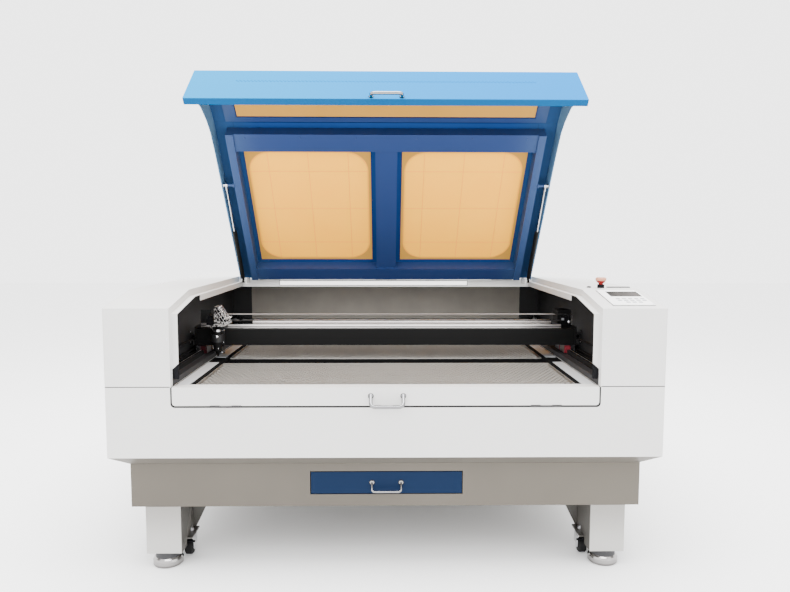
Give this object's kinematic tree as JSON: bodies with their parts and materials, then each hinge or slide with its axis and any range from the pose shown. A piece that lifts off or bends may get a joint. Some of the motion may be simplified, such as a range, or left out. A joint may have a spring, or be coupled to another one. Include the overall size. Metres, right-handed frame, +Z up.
{
  "type": "laser cutting machine",
  "caption": "Floor-standing laser cutter with a hinged windowed lid on gas struts, moving gantry and head, honeycomb bed, flap door, debris drawer and side control panel.",
  "frame": {"origin": "centre of the bounding box at floor level, with the lid raised", "axes": "+X to the operator's right along the width, +Y to the rear, +Z up"},
  "size_m": [1.84, 1.571, 1.7393],
  "materials": {
    "amber_acrylic": "clear amber",
    "black_paint": "matt powder coat",
    "black_plastic": "matt",
    "black_rubber": "matt",
    "blue_paint": "gloss powder coat",
    "bright_steel": "brushed",
    "chromed": "polished",
    "deep_blue_paint": "satin powder coat",
    "grey_paint": "satin powder coat",
    "honeycomb_aluminium": "matt",
    "machined_aluminium": "machined",
    "panel_plastic": "matt",
    "red_plastic": "gloss",
    "screen": "gloss",
    "tube_glass": "clear",
    "white_paint": "satin powder coat"
  },
  "bodies": {
    "cabinet": {"lower_body": "white_paint", "base_frame": "grey_paint", "debris_hopper": "grey_paint", "left_cover": "white_paint", "right_cover": "white_paint", "left_wall": "black_paint", "right_wall": "black_paint", "back_wall": "grey_paint", "rear_panel": "white_paint", "rear_deck": "grey_paint", "hinge_pins": "bright_steel", "bed_frame": "black_paint", "bed_strips": "machined_aluminium", "honeycomb": "honeycomb_aluminium", "y_rails": "bright_steel", "y_belts": "black_rubber", "y_motor": "black_paint", "laser_tube": "tube_glass", "power_supply": "grey_paint", "controller": "black_paint", "control_panel": "panel_plastic", "display": "screen", "switch_collars": "black_plastic", "exhaust_ducts": "bright_steel", "legs": "grey_paint", "rear_forks": "bright_steel"},
    "lid": {"lid_shell": "blue_paint", "lid_frame": "deep_blue_paint", "lid_windows": "amber_acrylic", "lid_handle": "chromed"},
    "left_strut_cylinder": {"left_strut_tube": "black_paint"},
    "right_strut_cylinder": {"right_strut_tube": "black_paint"},
    "left_strut_piston": {"left_strut_rod": "chromed"},
    "right_strut_piston": {"right_strut_rod": "chromed"},
    "gantry": {"gantry_beam": "black_paint", "rail_blocks": "bright_steel", "x_rail": "bright_steel", "x_motor": "black_paint"},
    "head": {"head_carriage": "machined_aluminium"},
    "focus_tube": {"lens_tube": "black_paint"},
    "drive_shaft": {"y_shaft": "bright_steel"},
    "tube_lid": {"tube_cover": "white_paint"},
    "stop_head": {"estop_button": "red_plastic"},
    "key": {"key_switch": "chromed"},
    "door": {"front_door": "white_paint", "door_handle": "chromed"},
    "debris_drawer": {"drawer": "blue_paint", "drawer_handle": "chromed"},
    "foot_fr": {"foot_front_right": "chromed"},
    "foot_fl": {"foot_front_left": "chromed"},
    "foot_rr": {"foot_rear_right": "chromed"},
    "foot_rl": {"foot_rear_left": "chromed"},
    "caster_fr": {"fork_front_right": "bright_steel"},
    "caster_fl": {"fork_front_left": "bright_steel"},
    "roller_fr": {"wheel_front_right": "black_rubber"},
    "roller_fl": {"wheel_front_left": "black_rubber"},
    "roller_rr": {"wheel_rear_right": "black_rubber"},
    "roller_rl": {"wheel_rear_left": "black_rubber"},
    "pedal_r": {"brake_right": "black_plastic"},
    "pedal_l": {"brake_left": "black_plastic"}
  },
  "joints": [
    {"name": "lid_hinge", "type": "hinge", "parent": "cabinet", "child": "lid", "pos_m": [0, 0.325, 0.934], "axis": [1, 0, 0], "range_deg": [0, 50.5]},
    {"name": "left_strut_pivot", "type": "hinge", "parent": "cabinet", "child": "left_strut_cylinder", "pos_m": [-0.668, 0.235, 0.928], "axis": [1, 0, 0], "range_deg": [0, 58.5]},
    {"name": "left_strut_slide", "type": "slide", "parent": "left_strut_cylinder", "child": "left_strut_piston", "axis": [0, -0.5948, 0.8038], "range_m": [-0.038, 0]},
    {"name": "right_strut_pivot", "type": "hinge", "parent": "cabinet", "child": "right_strut_cylinder", "pos_m": [0.668, 0.235, 0.928], "axis": [1, 0, 0], "range_deg": [0, 58.5]},
    {"name": "right_strut_slide", "type": "slide", "parent": "right_strut_cylinder", "child": "right_strut_piston", "axis": [0, -0.5948, 0.8038], "range_m": [-0.038, 0]},
    {"name": "gantry_slide", "type": "slide", "parent": "cabinet", "child": "gantry", "axis": [0, 1, 0], "range_m": [-0.345, 0.555]},
    {"name": "head_slide", "type": "slide", "parent": "gantry", "child": "head", "axis": [1, 0, 0], "range_m": [0, 1.29]},
    {"name": "focus_slide", "type": "slide", "parent": "head", "child": "focus_tube", "axis": [0, 0, 1], "range_m": [-0.01, 0.01]},
    {"name": "drive_shaft_turn", "type": "hinge", "parent": "cabinet", "child": "drive_shaft", "pos_m": [0, 0.595, 0.7], "axis": [1, 0, 0], "range_deg": [-1530, 960]},
    {"name": "tube_cover_hinge", "type": "hinge", "parent": "cabinet", "child": "tube_lid", "pos_m": [0, 0.743, 0.9475], "axis": [-1, 0, 0], "range_deg": [0, 100]},
    {"name": "stop_push", "type": "slide", "parent": "cabinet", "child": "stop_head", "axis": [0, 0, -1], "range_m": [0, 0.005], "stiffness_N_per_m": 1500},
    {"name": "key_turn", "type": "hinge", "parent": "cabinet", "child": "key", "pos_m": [0.762, -0.41, 0.95], "axis": [0, 0, 1], "range_deg": [0, 90]},
    {"name": "front_door_hinge", "type": "hinge", "parent": "cabinet", "child": "door", "pos_m": [0, -0.751, 0.576], "axis": [1, 0, 0], "range_deg": [0, 90]},
    {"name": "drawer_slide", "type": "slide", "parent": "cabinet", "child": "debris_drawer", "axis": [0, -1, 0], "range_m": [0, 0.65]},
    {"name": "foot_turn_fr", "type": "hinge", "parent": "cabinet", "child": "foot_fr", "pos_m": [0.76, -0.652, 0.05], "axis": [0, 0, 1], "continuous": true},
    {"name": "foot_turn_fl", "type": "hinge", "parent": "cabinet", "child": "foot_fl", "pos_m": [-0.76, -0.652, 0.05], "axis": [0, 0, 1], "continuous": true},
    {"name": "foot_turn_rr", "type": "hinge", "parent": "cabinet", "child": "foot_rr", "pos_m": [0.76, 0.652, 0.05], "axis": [0, 0, 1], "continuous": true},
    {"name": "foot_turn_rl", "type": "hinge", "parent": "cabinet", "child": "foot_rl", "pos_m": [-0.76, 0.652, 0.05], "axis": [0, 0, 1], "continuous": true},
    {"name": "caster_swivel_fr", "type": "hinge", "parent": "cabinet", "child": "caster_fr", "pos_m": [0.702, -0.575, 0.07], "axis": [0, 0, 1], "continuous": true},
    {"name": "wheel_spin_fr", "type": "hinge", "parent": "caster_fr", "child": "roller_fr", "pos_m": [0.702, -0.593, 0.028], "axis": [1, 0, 0], "continuous": true},
    {"name": "caster_swivel_fl", "type": "hinge", "parent": "cabinet", "child": "caster_fl", "pos_m": [-0.702, -0.575, 0.07], "axis": [0, 0, 1], "continuous": true},
    {"name": "wheel_spin_fl", "type": "hinge", "parent": "caster_fl", "child": "roller_fl", "pos_m": [-0.702, -0.593, 0.028], "axis": [1, 0, 0], "continuous": true},
    {"name": "wheel_spin_rr", "type": "hinge", "parent": "cabinet", "child": "roller_rr", "pos_m": [0.702, 0.593, 0.028], "axis": [1, 0, 0], "continuous": true},
    {"name": "wheel_spin_rl", "type": "hinge", "parent": "cabinet", "child": "roller_rl", "pos_m": [-0.702, 0.593, 0.028], "axis": [1, 0, 0], "continuous": true},
    {"name": "brake_pedal_r", "type": "hinge", "parent": "caster_fr", "child": "pedal_r", "pos_m": [0.702, -0.605, 0.0575], "axis": [1, 0, 0], "range_deg": [0, 12]},
    {"name": "brake_pedal_l", "type": "hinge", "parent": "caster_fl", "child": "pedal_l", "pos_m": [-0.702, -0.605, 0.0575], "axis": [1, 0, 0], "range_deg": [0, 12]}
  ],
  "couplings": [
    {"joint": "left_strut_pivot", "follows": "lid_hinge", "ratio": 1.1531},
    {"joint": "right_strut_pivot", "follows": "lid_hinge", "ratio": 1.1531},
    {"joint": "left_strut_slide", "follows": "lid_hinge", "m_per_rad": -0.041347},
    {"joint": "right_strut_slide", "follows": "lid_hinge", "m_per_rad": -0.041347},
    {"joint": "drive_shaft_turn", "follows": "gantry_slide", "rad_per_m": -47.619}
  ]
}
